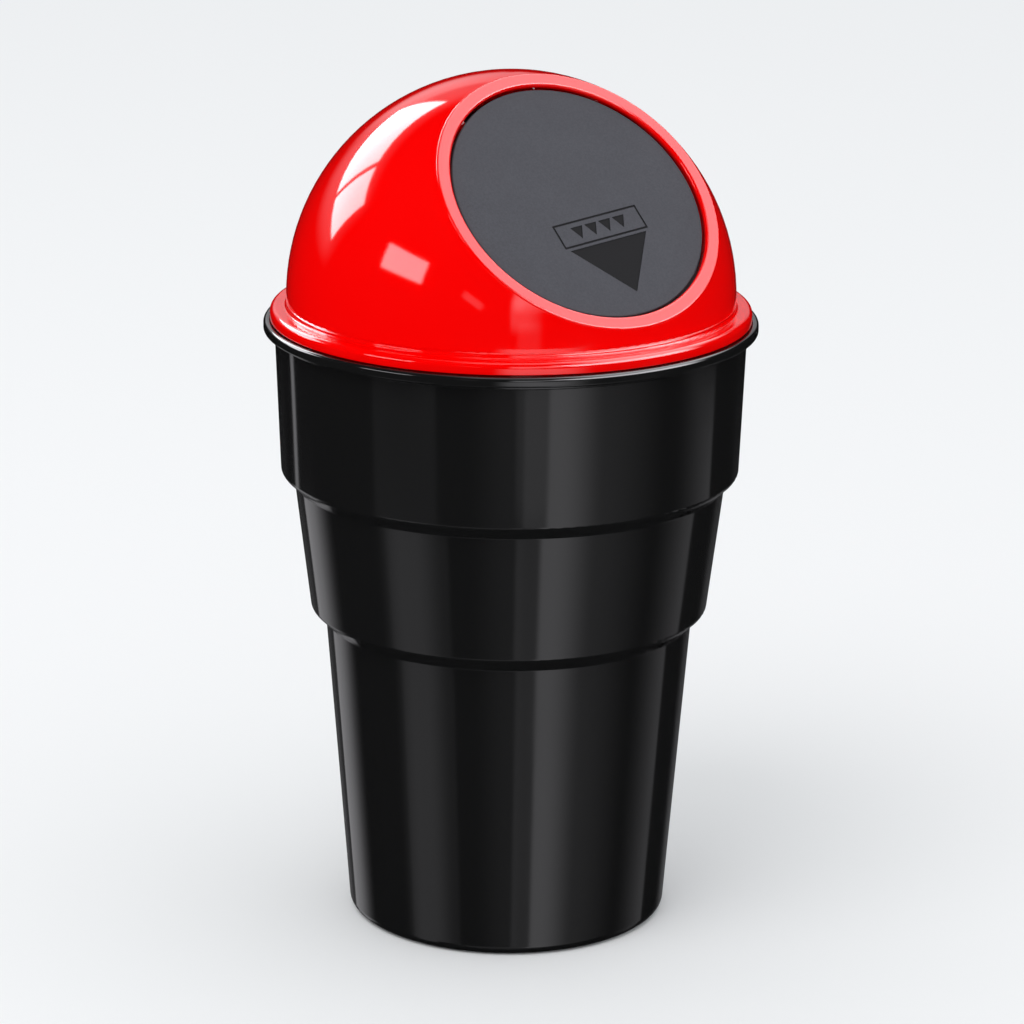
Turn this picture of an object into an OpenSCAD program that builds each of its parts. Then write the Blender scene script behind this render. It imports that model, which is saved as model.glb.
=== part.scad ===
// Car trash bin: a tiered round bin, a domed lid that presses into its mouth,
// and a sprung flap in the slanted round opening of the lid.
// Millimetres, origin at the centre of the base, +Z up, and the flap faces -Y.

/* [Lid] */
// Radius of the dome, which also sets the plug and the mouth of the bin
dome_r = 44.8; // [42:0.1:48]
// Wall of the dome and of the plug
lid_wall = 2; // [1.6:0.1:2.4]
// Straight neck between the flange and the half sphere of the dome
neck_h = 1.9; // [1.2:0.1:3]
// How far the flange stands out from the dome
flange_w = 3.2; // [2.8:0.1:3.6]
// Thickness of the flange
flange_h = 2.3; // [1.8:0.1:3]
// Rounding of the upper edge of the flange
flange_edge_r = 1.1; // [0.8:0.1:1.4]
// Fillet between the flange and the neck
neck_fillet_r = 0.5; // [0.4:0.1:0.8]
// Width of the shoulder that sits on the rim of the bin
shoulder_w = 1.5; // [1.2:0.1:2]
// Shadow gap between the flange and the rim
shadow_gap = 0.3; // [0.2:0.1:0.6]
// Depth of the plug in the mouth of the bin
plug_h = 8; // [6:0.5:10]
// Rounding of the lower edge of the plug
plug_edge_r = 0.6; // [0.4:0.1:0.8]
// Height of the low grip bead round the plug
grip_bead = 0.25; // [0.15:0.05:0.3]
// Clearance round the plug, and 0.3 more than the grip bead
plug_fit = 0.55; // [0.5:0.05:0.8]

/* [Opening] */
// Height of the cap that the slanted opening cuts off the dome
cap_h = 11.2; // [10.8:0.1:11.8]
// Tilt of the axis of the opening above level
slant = 45; // [42:1:48]
// How far the flat ring stands out past the edge of that cut, as a low collar
collar_w = 0.25; // [0.2:0.05:0.35]
// Width of the flat ring round the opening
ring_w = 2.8; // [2.4:0.1:3]
// Thickness of the flat ring
ring_t = 2.4; // [2.2:0.1:2.8]
// Rounding of the outer edge of the flat ring
ring_edge_r = 0.3; // [0.15:0.05:0.3]
// Rounding of the edge of the bore
bore_edge_r = 0.3; // [0.2:0.1:0.5]

/* [Flap] */
// Gap between the flap and the bore
flap_gap = 0.6; // [0.5:0.05:0.8]
// How deep the face of the flap lies below the flat ring
flap_sunk = 0.9; // [0.7:0.1:1]
// Thickness of the flap plate
flap_t = 1.6; // [1.4:0.1:1.8]
// Reach of the stop lip behind the flat ring
lip_reach = 0.8; // [0.6:0.1:1]
// Thickness of the stop lip
lip_t = 1.2; // [1:0.1:1.4]
// Width of the stop lip
lip_w = 3.4; // [2.8:0.1:4]
// Distance from the hinge axis down the slope to the ends of the stop lip
lip_clear = 5; // [4.5:0.1:6]
// Rounding of the edge of the flap plate
flap_edge_r = 0.3; // [0.2:0.1:0.4]
// Width of the two ribs on the back of the flap
rib_w = 1.4; // [1:0.1:2]
// Height of the ribs
rib_h = 2; // [1.4:0.1:2.4]

/* [Hinge] */
// Distance from the edge of the bore down to the hinge axis
hinge_drop = 4.6; // [4.4:0.1:5]
// Depth of the hinge axis behind the flat ring
hinge_depth = 5.9; // [5.8:0.1:6.4]
// Radius of the hinge pin
pin_r = 1.2; // [1:0.05:1.3]
// Clearance of the pin in the ears of the lid
ear_fit = 0.05; // [0.02:0.01:0.08]
// Clearance of the pin in the knuckles of the flap
knuckle_fit = 0.1; // [0.06:0.01:0.1]
// Radius of the ears round the pin
ear_r = 3; // [2.7:0.1:3]
// Thickness of each ear
ear_t = 3.4; // [3:0.1:3.6]
// End wall that keeps the pin in its ear
ear_end_t = 0.9; // [0.6:0.1:1.2]
// Gap between the edge of the flap and each ear
ear_gap = 1.2; // [0.8:0.1:1.5]
// Opening that each ear snaps over the pin with, as a share of the pin
snap_share = 0.8; // [0.7:0.05:0.9]
// Radius of the knuckles
knuckle_r = 2.6; // [2.4:0.1:2.8]
// Width of each knuckle
knuckle_w = 3; // [2.5:0.1:3.2]
// Gap between a knuckle and its ear
knuckle_gap = 3; // [2.6:0.1:3.4]
// How far the web of a knuckle reaches past the pin, up the slope
web_reach = 1.2; // [0.8:0.1:1.2]

/* [Spring] */
// Radius of the spring wire
wire_r = 0.4; // [0.3:0.05:0.4]
// Middle radius of the coil
coil_r = 2.3; // [2.2:0.05:2.3]
// Number of turns
turns = 7; // [5:1:9]
// Gap between turns
turn_gap = 0.12; // [0.08:0.01:0.2]
// Length of the leg that presses on the flap
leg_len = 13; // [10:0.5:16]
// How far the other leg reaches behind the flat ring
leg_hold = 0.9; // [0.6:0.1:1.2]

/* [Bin] */
// Wall of the mouth of the bin
mouth_wall = 1.75; // [1.6:0.05:2]
// Width of the ledge at the lower end of the mouth
mouth_ledge = 0.4; // [0.3:0.1:0.6]
// Gap between that ledge and the plug of the lid
ledge_gap = 1.2; // [0.8:0.1:2]
// Wall of the tiers
bin_wall = 2; // [1.6:0.1:2.2]
// Thickness of the floor
floor_t = 2.2; // [1.8:0.1:3]
// Height of the lower tier
lower_h = 61.8; // [54:0.2:70]
// How much wider the lower tier gets from the ground up
lower_taper = 4.9; // [4:0.1:5.5]
// Height of the lower step
lower_step_h = 2.8; // [2.4:0.1:3.4]
// Width of the lower step
lower_step_w = 3; // [2.6:0.1:3.4]
// Height of the middle tier
middle_h = 25.9; // [22:0.1:30]
// How much wider the middle tier gets
middle_taper = 3.2; // [2.4:0.1:3.6]
// Height of the upper step
upper_step_h = 2.5; // [2.2:0.1:3.2]
// Width of the upper step
upper_step_w = 2.7; // [2.4:0.1:3.2]
// Height of the upper tier, with the rim
upper_h = 30.8; // [26:0.1:36]
// How much wider the upper tier gets
upper_taper = 1.1; // [0.6:0.1:1.3]
// Rounding at the top of each step
step_edge_r = 1.1; // [0.8:0.1:1.4]
// Fillet at the bottom of each step
step_fillet_r = 0.5; // [0.3:0.1:0.8]
// Rounding of the edge of the base
base_edge_r = 2.1; // [1.4:0.1:2.6]
// Width of the ring that the bin stands on
foot_w = 3; // [2:0.2:4]
// Depth of the hollow inside that ring
foot_hollow = 0.8; // [0.4:0.1:1]

/* [Rim] */
// How far the rim bead stands out from the upper tier
rim_w = 2.2; // [1.8:0.1:2.6]
// Height of the rim bead
rim_h = 1.9; // [1.6:0.1:2.4]
// Rounding of the upper edge of the rim bead
rim_edge_r = 0.7; // [0.4:0.1:0.8]
// Rounding of the lower edges of the rim bead and of the low step under it
bead_edge_r = 0.3; // [0.2:0.05:0.3]
// How far the low step under the bead stands out from the upper tier
under_w = 1.2; // [0.8:0.1:1.4]
// Height of the low step under the bead
under_h = 0.7; // [0.5:0.1:1]

/* [Hidden] */
$fn = 96;

// Overshoot of a cut beyond the face that it starts from
over = 1;
// Overlap of solids that are one moulding
meld = 0.2;
// Smallest length that a cut is made larger by
hair = 0.00005;

// Radii from the dome down to the base
plug_r = dome_r;
mouth_r = plug_r + plug_fit;
upper_top_r = mouth_r + mouth_wall;
upper_bottom_r = upper_top_r - upper_taper;
middle_top_r = upper_bottom_r - upper_step_w;
middle_bottom_r = middle_top_r - middle_taper;
lower_top_r = middle_bottom_r - lower_step_w;
base_r = lower_top_r - lower_taper;
rim_r = upper_top_r + rim_w;
under_r = upper_top_r + under_w;

// Heights from the ground up
lower_top_z = lower_h;
middle_bottom_z = lower_top_z + lower_step_h;
middle_top_z = middle_bottom_z + middle_h;
upper_bottom_z = middle_top_z + upper_step_h;
rim_z = upper_bottom_z + upper_h;
bead_z = rim_z - rim_h;
under_z = bead_z - under_h;
floor_z = foot_hollow + floor_t;
mouth_depth = plug_h + ledge_gap;
// A wall of even thickness turns higher inside a step than outside it
inner_lift = bin_wall * tan(22.5);

// Lid
flange_r = dome_r + flange_w;
flange_z = rim_z + shadow_gap;
flange_top_z = flange_z + flange_h;
dome_z = flange_top_z + neck_h;
plug_z = rim_z - plug_h;
shoulder_r = mouth_r + shoulder_w;
inner_r = dome_r - lid_wall;
grip_r = plug_r + grip_bead;
grip_z = plug_z + plug_h / 2;

// Opening, in the frame of its own axis: Z outwards from the centre of the dome, Y up the slope
ring_z = dome_r - cap_h;
cut_r = sqrt(dome_r * dome_r - ring_z * ring_z);
ring_r = cut_r + collar_w;
bore_r = ring_r - ring_w;
ring_back_z = ring_z - ring_t;
// The dome ends inside the collar, where the rounding of the collar runs parallel to the dome
dome_cut_z = ring_z - ring_edge_r * (1 - ring_z / dome_r);

// Flap, in the frame of the opening
flap_r = bore_r - flap_gap;
flap_face_z = ring_z - flap_sunk;
flap_back_z = flap_face_z - flap_t;
lip_r = bore_r + lip_reach;
lip_back_z = ring_back_z - lip_t;

// Hinge, in the frame of the opening
axis_y = bore_r - hinge_drop;
axis_z = ring_z - hinge_depth;
flap_half_at_axis = sqrt(flap_r * flap_r - axis_y * axis_y);
ear_x = flap_half_at_axis + ear_gap;
ear_hole_x = ear_x + ear_t - ear_end_t;
pin_half = ear_hole_x - ear_fit;
knuckle_x = ear_x - knuckle_gap - knuckle_w;
rib_x = knuckle_x + knuckle_w / 2;
snap_w = 2 * pin_r * snap_share;
lip_end_y = axis_y - lip_clear;
lip_in_r = lip_r - lip_w;
rib_end_y = -sqrt(lip_in_r * lip_in_r - rib_x * rib_x) - over;

// Spring, in the frame of the opening
pitch = 2 * wire_r + turn_gap;
coil_half = pitch * turns / 2;
wire_sides = 8;
turn_steps = 24;

// Angle between the two legs of a corner
function corner_angle(a, p, b) = acos((a - p) * (b - p) / (norm(a - p) * norm(b - p)));
// Point at a distance along the line from one point to another
function along(p, q, d) = p + (q - p) * (d / norm(q - p));
// Point where a rounding of radius r meets the leg towards q, seen from the corner p
function tangent_point(q, p, other, r) = along([0, 0], q - p, r / tan(corner_angle(q, p, other) / 2));
// Centre of the rounding of a corner, seen from the corner
function round_centre(a, p, b, r) =
    along([0, 0], along([0, 0], a - p, 1) + along([0, 0], b - p, 1), r / sin(corner_angle(a, p, b) / 2));

// Sliver between a sharp corner and its rounding: taken off an outer corner, added to an inner one.
// It reaches past both legs, and its circle is a hair too large, so that it leaves no thin faces.
module corner_sliver(a, p, b, r) {
    centre = round_centre(a, p, b, r);
    past_a = centre + (tangent_point(a, p, b, r) - centre) * 1.3;
    past_b = centre + (tangent_point(b, p, a, r) - centre) * 1.3;
    translate(p) difference() {
        polygon([past_a, centre, past_b, -0.5 * centre]);
        translate(centre) circle(r + hair);
    }
}

// Places its children in the frame of the slanted opening
module opening_frame() {
    translate([0, 0, dome_z]) rotate([90 - slant, 0, 0]) children();
}

// Draws its children and their mirror image on the other side
module both_sides() {
    children();
    mirror([1, 0, 0]) children();
}

// Round bar along X, given by its radius and both ends
module bar_x(r, x0, x1) {
    translate([x0, 0, 0]) rotate([0, 90, 0]) cylinder(r = r, h = x1 - x0);
}

// Bin

// Corners of the outer side of the bin, from the axis outwards and up
function bin_corners() = [
    [0, 0], [base_r, 0], [lower_top_r, lower_top_z], [middle_bottom_r, middle_bottom_z],
    [middle_top_r, middle_top_z], [upper_bottom_r, upper_bottom_z], [upper_top_r, under_z],
    [under_r, under_z], [under_r, bead_z], [rim_r, bead_z], [rim_r, rim_z], [0, rim_z]
];

// Corners of the hollow of the bin
function hollow_corners() = [
    [0, floor_z], [base_r - bin_wall, floor_z],
    [lower_top_r - bin_wall, lower_top_z + inner_lift],
    [middle_bottom_r - bin_wall, middle_bottom_z + inner_lift],
    [middle_top_r - bin_wall, middle_top_z + inner_lift],
    [upper_bottom_r - bin_wall, upper_bottom_z + inner_lift],
    [mouth_r - mouth_ledge, rim_z - mouth_depth], [mouth_r, rim_z - mouth_depth],
    [mouth_r, rim_z + over], [0, rim_z + over]
];

module bin_section() {
    outer = bin_corners();
    inner = hollow_corners();
    difference() {
        union() {
            polygon(outer);
            corner_sliver(outer[1], outer[2], outer[3], step_fillet_r);
            corner_sliver(outer[3], outer[4], outer[5], step_fillet_r);
        }
        difference() {
            polygon(inner);
            corner_sliver(inner[0], inner[1], inner[2], base_edge_r);
        }
        corner_sliver(outer[0], outer[1], outer[2], base_edge_r);
        corner_sliver(outer[2], outer[3], outer[4], step_edge_r);
        corner_sliver(outer[4], outer[5], outer[6], step_edge_r);
        corner_sliver(outer[6], outer[7], outer[8], bead_edge_r);
        corner_sliver(outer[8], outer[9], outer[10], bead_edge_r);
        corner_sliver(outer[9], outer[10], outer[11], rim_edge_r);
        // Hollow under the base, inside the ring that the bin stands on
        translate([0, -over]) square([base_r - base_edge_r - foot_w, foot_hollow + over]);
    }
}

module bin() {
    color("#151515") rotate_extrude() bin_section();
}

// Lid

// Half section of the lid before it is hollowed
module lid_section() {
    plug_corner = [plug_r, plug_z];
    neck_corner = [dome_r, flange_top_z];
    intersection() {
        translate([0, dome_z]) circle(dome_r);
        translate([0, dome_z - meld]) square([dome_r + over, dome_r + over]);
    }
    translate([0, flange_top_z - meld]) square([dome_r, neck_h + meld]);
    difference() {
        translate([0, flange_z]) square([flange_r, flange_h]);
        corner_sliver([flange_r, flange_z], [flange_r, flange_top_z], [0, flange_top_z], flange_edge_r);
    }
    corner_sliver([dome_r, dome_z], neck_corner, [flange_r, flange_top_z], neck_fillet_r);
    translate([0, rim_z]) square([shoulder_r, shadow_gap + meld]);
    difference() {
        translate([0, plug_z]) square([plug_r, plug_h + meld]);
        corner_sliver([0, plug_z], plug_corner, [plug_r, rim_z], plug_edge_r);
    }
    // Low grip bead round the plug
    translate([grip_r - 1, grip_z]) circle(1);
}

// Space inside the dome and the plug, kept clear of the flat ring
module lid_hollow() {
    difference() {
        union() {
            translate([0, 0, dome_z]) sphere(inner_r);
            translate([0, 0, plug_z - over]) cylinder(r = inner_r, h = dome_z - plug_z + over);
        }
        opening_frame() translate([-dome_r, -dome_r, ring_back_z]) cube([2 * dome_r, 2 * dome_r, dome_r]);
    }
}

// Flat ring round the opening, with the rounding of its outer edge, up to the axis
module collar() {
    rotate_extrude() difference() {
        translate([0, ring_z - ring_t / 2]) square([ring_r, ring_t / 2]);
        corner_sliver([0, ring_z], [ring_r, ring_z], [ring_r, ring_back_z], ring_edge_r);
    }
}

// What is cut off outside the collar
module cap_cut() {
    translate([-dome_r, -dome_r, dome_cut_z]) cube([2 * dome_r, 2 * dome_r, dome_r]);
}

// Bore through the flat ring, with the rounding of its outer edge
module bore_cut() {
    translate([0, 0, ring_back_z - over]) cylinder(r = bore_r, h = ring_t + 2 * over);
    rotate_extrude() corner_sliver([bore_r + 2, ring_z], [bore_r, ring_z], [bore_r, ring_z - 2], bore_edge_r);
}

// Ear that holds one end of the pin, grown from the inside of the dome
module ear() {
    intersection() {
        opening_frame() union() {
            translate([0, axis_y, axis_z]) bar_x(ear_r, ear_x, ear_x + ear_t);
            translate([ear_x, axis_y, axis_z - ear_r]) cube([ear_t, dome_r, 2 * ear_r]);
        }
        translate([0, 0, dome_z]) sphere(inner_r + meld);
    }
}

// Blind hole for the pin in an ear, and the narrower opening that snaps over the pin
module ear_hole() {
    translate([0, axis_y, axis_z]) bar_x(pin_r + ear_fit, ear_x - over, ear_hole_x);
    translate([ear_x - over, axis_y - snap_w / 2, axis_z - ear_r - over])
        cube([ear_hole_x - ear_x + over, snap_w, ear_r + over]);
}

module lid() {
    color("#f50000") difference() {
        union() {
            difference() {
                union() {
                    difference() {
                        rotate_extrude() lid_section();
                        opening_frame() cap_cut();
                    }
                    opening_frame() collar();
                }
                lid_hollow();
                opening_frame() bore_cut();
            }
            both_sides() ear();
        }
        opening_frame() both_sides() ear_hole();
    }
}

// Flap

// Round plate of the flap, with its edge rounded
module flap_plate() {
    rotate_extrude() difference() {
        translate([0, flap_back_z]) square([flap_r, flap_t]);
        corner_sliver([0, flap_face_z], [flap_r, flap_face_z], [flap_r, flap_back_z], flap_edge_r);
    }
}

// Lip behind the flat ring that stops the flap, left out near the hinge
module stop_lip() {
    difference() {
        translate([0, 0, lip_back_z]) cylinder(r = lip_r, h = lip_t);
        translate([0, 0, lip_back_z - over]) cylinder(r = lip_in_r, h = lip_t + 2 * over);
        translate([-dome_r, lip_end_y, lip_back_z - over]) cube([2 * dome_r, dome_r, lip_t + 2 * over]);
    }
}

// Rib on the back of the flap, from its knuckle to the stop lip
module back_rib() {
    translate([rib_x - rib_w / 2, rib_end_y, flap_back_z - rib_h])
        cube([rib_w, axis_y - rib_end_y, rib_h + meld]);
}

// Knuckle that turns on the pin, and the web that carries it
module knuckle() {
    translate([0, axis_y, axis_z]) bar_x(knuckle_r, knuckle_x, knuckle_x + knuckle_w);
    translate([knuckle_x, axis_y - knuckle_r, axis_z])
        cube([knuckle_w, knuckle_r + web_reach, flap_back_z - axis_z + meld]);
}

module flap() {
    color("#5a5b5f") opening_frame() difference() {
        union() {
            flap_plate();
            stop_lip();
            both_sides() back_rib();
            both_sides() knuckle();
        }
        translate([0, axis_y, axis_z]) bar_x(pin_r + knuckle_fit, -ear_x, ear_x);
    }
}

// Hinge pin
module hinge_pin() {
    color("silver") opening_frame() translate([0, axis_y, axis_z]) bar_x(pin_r, -pin_half, pin_half);
}

// Return spring

// Point of the wire at an angle of the coil, where 90 degrees faces the flap
function coil_point(t) = [coil_half - 2 * coil_half * (t - 90) / (360 * turns),
    axis_y + coil_r * cos(t), axis_z + coil_r * sin(t)];

// Ring of wire round a point, in the plane of the X axis and of a direction out from the coil
function wire_ring(p, t) = [for (k = [0 : wire_sides - 1])
    p + wire_r * [cos(360 * k / wire_sides), cos(t) * sin(360 * k / wire_sides),
    sin(t) * sin(360 * k / wire_sides)]];

// Ends of the fixed leg, which presses behind the flat ring, and of the leg that presses on the flap
function fixed_leg_end() = [coil_half, bore_r + leg_hold, ring_back_z - wire_r];
function flap_leg_end() = [-coil_half, axis_y - leg_len, flap_back_z - wire_r];

function wire_rings() = concat(
    [wire_ring(fixed_leg_end(), 90)],
    [for (k = [0 : turns * turn_steps]) wire_ring(coil_point(90 + 360 * k / turn_steps),
        90 + 360 * k / turn_steps)],
    [wire_ring(flap_leg_end(), 90)]);

module return_spring() {
    rings = wire_rings();
    count = len(rings);
    points = [for (ring = rings) for (p = ring) p];
    sides = [for (i = [0 : count - 2]) for (k = [0 : wire_sides - 1])
        let (next = (k + 1) % wire_sides)
        [i * wire_sides + k, i * wire_sides + next, (i + 1) * wire_sides + next, (i + 1) * wire_sides + k]];
    first_end = [for (k = [wire_sides - 1 : -1 : 0]) k];
    last_end = [for (k = [0 : wire_sides - 1]) (count - 1) * wire_sides + k];
    color("#b8bbc0") opening_frame() polyhedron(points, concat(sides, [first_end, last_end]));
}

bin();
lid();
flap();
hinge_pin();
return_spring();
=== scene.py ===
"""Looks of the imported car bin: its finishes, the engraved face of its flap, the skins of its edges, its spring and a
plain studio."""

import math

import bpy
import numpy as np
from bpy.props import FloatProperty, FloatVectorProperty, IntProperty, PointerProperty
from bpy.types import Operator, Panel, PropertyGroup
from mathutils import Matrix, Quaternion, Vector


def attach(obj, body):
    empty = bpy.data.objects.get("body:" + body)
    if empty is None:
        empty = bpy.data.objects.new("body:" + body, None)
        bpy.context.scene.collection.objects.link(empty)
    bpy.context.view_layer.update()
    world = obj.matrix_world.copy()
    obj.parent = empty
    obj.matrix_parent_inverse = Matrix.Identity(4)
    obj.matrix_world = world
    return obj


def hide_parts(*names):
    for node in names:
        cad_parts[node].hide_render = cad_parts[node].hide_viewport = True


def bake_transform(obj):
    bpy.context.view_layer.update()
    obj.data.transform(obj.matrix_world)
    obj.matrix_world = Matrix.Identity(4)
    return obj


bl_info = {
    "name": "Car bin looks",
    "version": (1, 0, 0),
    "blender": (4, 5, 0),
    "location": "3D View > Sidebar > Car bin",
    "description": "Dresses the packed car bin and sets up a plain studio round it",
    "category": "Object",
}

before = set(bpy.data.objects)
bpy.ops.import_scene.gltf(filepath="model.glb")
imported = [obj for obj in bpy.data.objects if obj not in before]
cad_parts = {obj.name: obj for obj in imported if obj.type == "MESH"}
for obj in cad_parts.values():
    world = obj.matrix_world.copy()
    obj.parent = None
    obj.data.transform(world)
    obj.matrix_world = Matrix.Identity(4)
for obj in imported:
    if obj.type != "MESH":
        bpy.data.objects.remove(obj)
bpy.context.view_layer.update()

# Frame of the slanted opening: its centre on the axis of the dome, across, up the slope, and outwards
DOME_HEIGHT = 0.1283
ACROSS = np.array([1.0, 0.0, 0.0])
UP_SLOPE = np.array([0.0, math.sqrt(0.5), math.sqrt(0.5)])
OUTWARDS = np.array([0.0, -math.sqrt(0.5), math.sqrt(0.5)])

# The sign: small triangles from one to the next as a share of the field's width, their half width as a share of that
# pitch, their half height as a share of the field's height, and how far the arrow's tip lies right of its middle
MARK_PITCH = 0.17
MARK_HALF_WIDTH = 0.42
MARK_HALF_HEIGHT = 0.27
TIP_SHIFT = -0.0004

# Its field of points: margin round the sign, the margin below the arrow in those margins, half the width of the
# engraving's walls in steps of the grid, and the least slope that a distance counts with
FIELD_MARGIN = 0.0009
FOOT_MARGINS = 1.3
HALF_WALL = 0.2
LEAST_SLOPE = 0.5

# Points along each band and each rounding of the face, the first of which belongs to what comes before
FACE_ROWS = 7

# Turned skins: points of an arc, columns round the axis, and the outer strip of a flat, which keeps the shading of
# its rounding off the flat
ARC_POINTS = 11
COLUMNS = 256
SUPPORT = 0.00008

# Ring skin: how far its outer side reaches below its rounding, as a share of the rounding
RING_FOOT = 0.4

# Rim skin: how far in its underside starts, and how deep its two buried corners lie below the top
RIM_LIP = 0.00105
RIM_DEPTHS = (0.0006, 0.0012)

# Flange skin: how far in its underside starts, its lower rounding, how far it climbs the neck above the fillet and
# lies in it, and the heights of its buried corners above the fillet and above the underside
FLANGE_LIP = 0.0005
FLANGE_LOW_ROUND = 0.0001
NECK_CLIMB = 0.0007
NECK_SINK = 0.00001
FILLET_DEPTH = 0.0003
FLANGE_DEPTHS = (0.0009, 0.0004)

# Spring: points of a turn and of a leg, sides of the wire, rings of its rounded ends, and the part of the coil's ends
# that doesn't twist, in radii of the wire
TURN_POINTS = 56
LEG_POINTS = 13
WIRE_SIDES = 18
END_RINGS = 5

# Least cosine to a softbox's middle at which it is still ahead
AHEAD = 0.05

# Softboxes of the studio, as seen in the gloss: degrees right of the camera, degrees above level,
# half width, half height and turn in degrees, softness of the left side, the right side and the ends, and strength
SOFTBOXES = {
    "window": (-144.5, 27.5, 14.0, 9.8, -7.0, 0.05, 0.05, 0.05, 8.7),
    "window_pane": (-118.5, 22.0, 8.0, 9.6, -20.0, 0.05, 0.05, 0.08, 9.5),
    "window_halo": (-142.0, 25.0, 31.0, 15.0, -8.0, 0.35, 0.25, 0.35, 0.5),
    "low_pane": (-60.3, 20.1, 12.6, 5.3, -4.0, 0.06, 0.06, 0.06, 7.0),
    "streak": (-19.5, 9.5, 5.5, 1.7, -32.0, 0.3, 0.3, 0.3, 0.9),
    "side_window": (62.0, 28.0, 33.0, 16.0, 0.0, 0.2, 0.35, 0.2, 11.0),
    "overhead": (118.0, 56.0, 34.0, 20.0, 0.0, 0.2, 0.2, 0.5, 4.6),
    "zenith": (0.0, 84.0, 12.0, 9.0, 0.0, 0.4, 0.4, 0.4, 1.9),
    "front_glow": (6.0, 3.0, 6.0, 7.0, 0.0, 0.2, 0.9, 0.6, 0.9),
    "front_rise": (12.0, 18.0, 11.0, 12.0, 0.0, 0.2, 0.2, 0.3, 2.2),
    "ceiling": (165.0, 66.0, 18.0, 14.0, 0.0, 0.5, 0.5, 0.5, 1.5),
    "backdrop": (180.0, 18.0, 20.0, 9.0, 0.0, 0.3, 0.3, 0.3, 0.5),
    "left_band": (-54.0, -32.8, 16.6, 14.2, 0.0, 0.1, 0.08, 0.05, 0.12),
    "left_haze": (-59.0, -34.0, 11.6, 10.0, 0.0, 0.7, 0.7, 0.1, 0.35),
    "front_haze": (-3.0, -31.0, 7.7, 14.0, 0.0, 1.44, 0.67, 0.05, 0.12),
    "right_band": (27.7, -31.0, 8.6, 14.0, 0.0, 0.2, 1.35, 0.05, 0.88),
    "right_haze": (34.4, -31.0, 26.0, 14.0, 0.0, 0.06, 1.14, 0.05, 0.33),
    "right_strip": (112.0, -29.0, 8.0, 12.0, 0.0, 2.0, 0.12, 0.05, 0.3),
    "left_strip": (-136.8, -27.5, 10.9, 8.0, 0.0, 0.08, 1.0, 0.08, 0.7),
    "left_line": (-135.0, -17.4, 2.0, 2.0, 0.0, 0.4, 0.4, 0.2, 0.75),
    "front_line": (14.0, -13.9, 18.0, 1.5, 0.0, 0.3, 0.8, 0.3, 1.6),
    "front_fall": (9.0, -7.5, 5.5, 6.5, 0.0, 0.3, 0.4, 0.2, 0.32),
    "right_edge": (10.5, -18.7, 7.0, 2.3, 0.0, 0.25, 0.2, 0.15, 0.3),
    "far_floor": (180.0, -31.0, 24.0, 11.0, 0.0, 0.5, 0.5, 0.5, 0.14),
    "under_glow": (0.0, -50.0, 24.0, 10.0, 0.0, 0.3, 0.3, 0.3, 0.22),
}


class FaceSettings(PropertyGroup):
    """Sizes and colours of the face of the flap and of the sign engraved in it."""

    radius: FloatProperty(
        name="Radius", description="Radius of the face", default=0.0265, unit="LENGTH", precision=5
    )
    height: FloatProperty(
        name="Height",
        description="Distance of the face from the centre of the dome",
        default=0.03286,
        unit="LENGTH",
        precision=5,
    )
    skirt: FloatProperty(
        name="Skirt",
        description="How far the edge of the face reaches down over the flap",
        default=0.0005,
        unit="LENGTH",
        precision=5,
    )
    edge_round: FloatProperty(
        name="Edge rounding", description="Rounding of its edge", default=0.0003, unit="LENGTH", precision=5
    )
    depth: FloatProperty(
        name="Engraving depth", description="Depth of the sign", default=0.00014, unit="LENGTH", precision=5
    )
    grid_step: FloatProperty(
        name="Grid step",
        description="Spacing of the mesh where the sign is",
        default=0.00011,
        unit="LENGTH",
        precision=5,
    )
    sign_turn: FloatProperty(
        name="Turn of the sign",
        description="Angle from the hinge axis to the long side of the sign",
        default=math.radians(6.7),
        unit="ROTATION",
        subtype="ANGLE",
    )
    sign_place: FloatVectorProperty(
        name="Place of the sign",
        description="Middle of its bordered field, across and up the slope",
        default=(0.00214, -0.0063),
        size=2,
        unit="LENGTH",
        precision=5,
    )
    field_width: FloatProperty(
        name="Field width", description="Width of the bordered field", default=0.0202, unit="LENGTH", precision=5
    )
    field_height: FloatProperty(
        name="Field height", description="Height of that field", default=0.0051, unit="LENGTH", precision=5
    )
    line_width: FloatProperty(
        name="Line width", description="Width of the border line", default=0.0004, unit="LENGTH", precision=5
    )
    arrow_width: FloatProperty(
        name="Arrow width", description="Width of the arrow head", default=0.0188, unit="LENGTH", precision=5
    )
    arrow_height: FloatProperty(
        name="Arrow height", description="Height of the arrow head", default=0.0119, unit="LENGTH", precision=5
    )
    arrow_gap: FloatProperty(
        name="Arrow gap",
        description="Gap between the field and the arrow head",
        default=0.0006,
        unit="LENGTH",
        precision=5,
    )
    mark_count: IntProperty(name="Marks", description="Small triangles in the field", default=4, min=1, max=8)
    colour: FloatVectorProperty(
        name="Face colour", description="Grained grey of the face", default=(0.0595, 0.06, 0.0685), subtype="COLOR"
    )
    sign_colour: FloatVectorProperty(
        name="Sign colour", description="Floor of the engraving", default=(0.006, 0.006, 0.0066), subtype="COLOR"
    )


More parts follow.
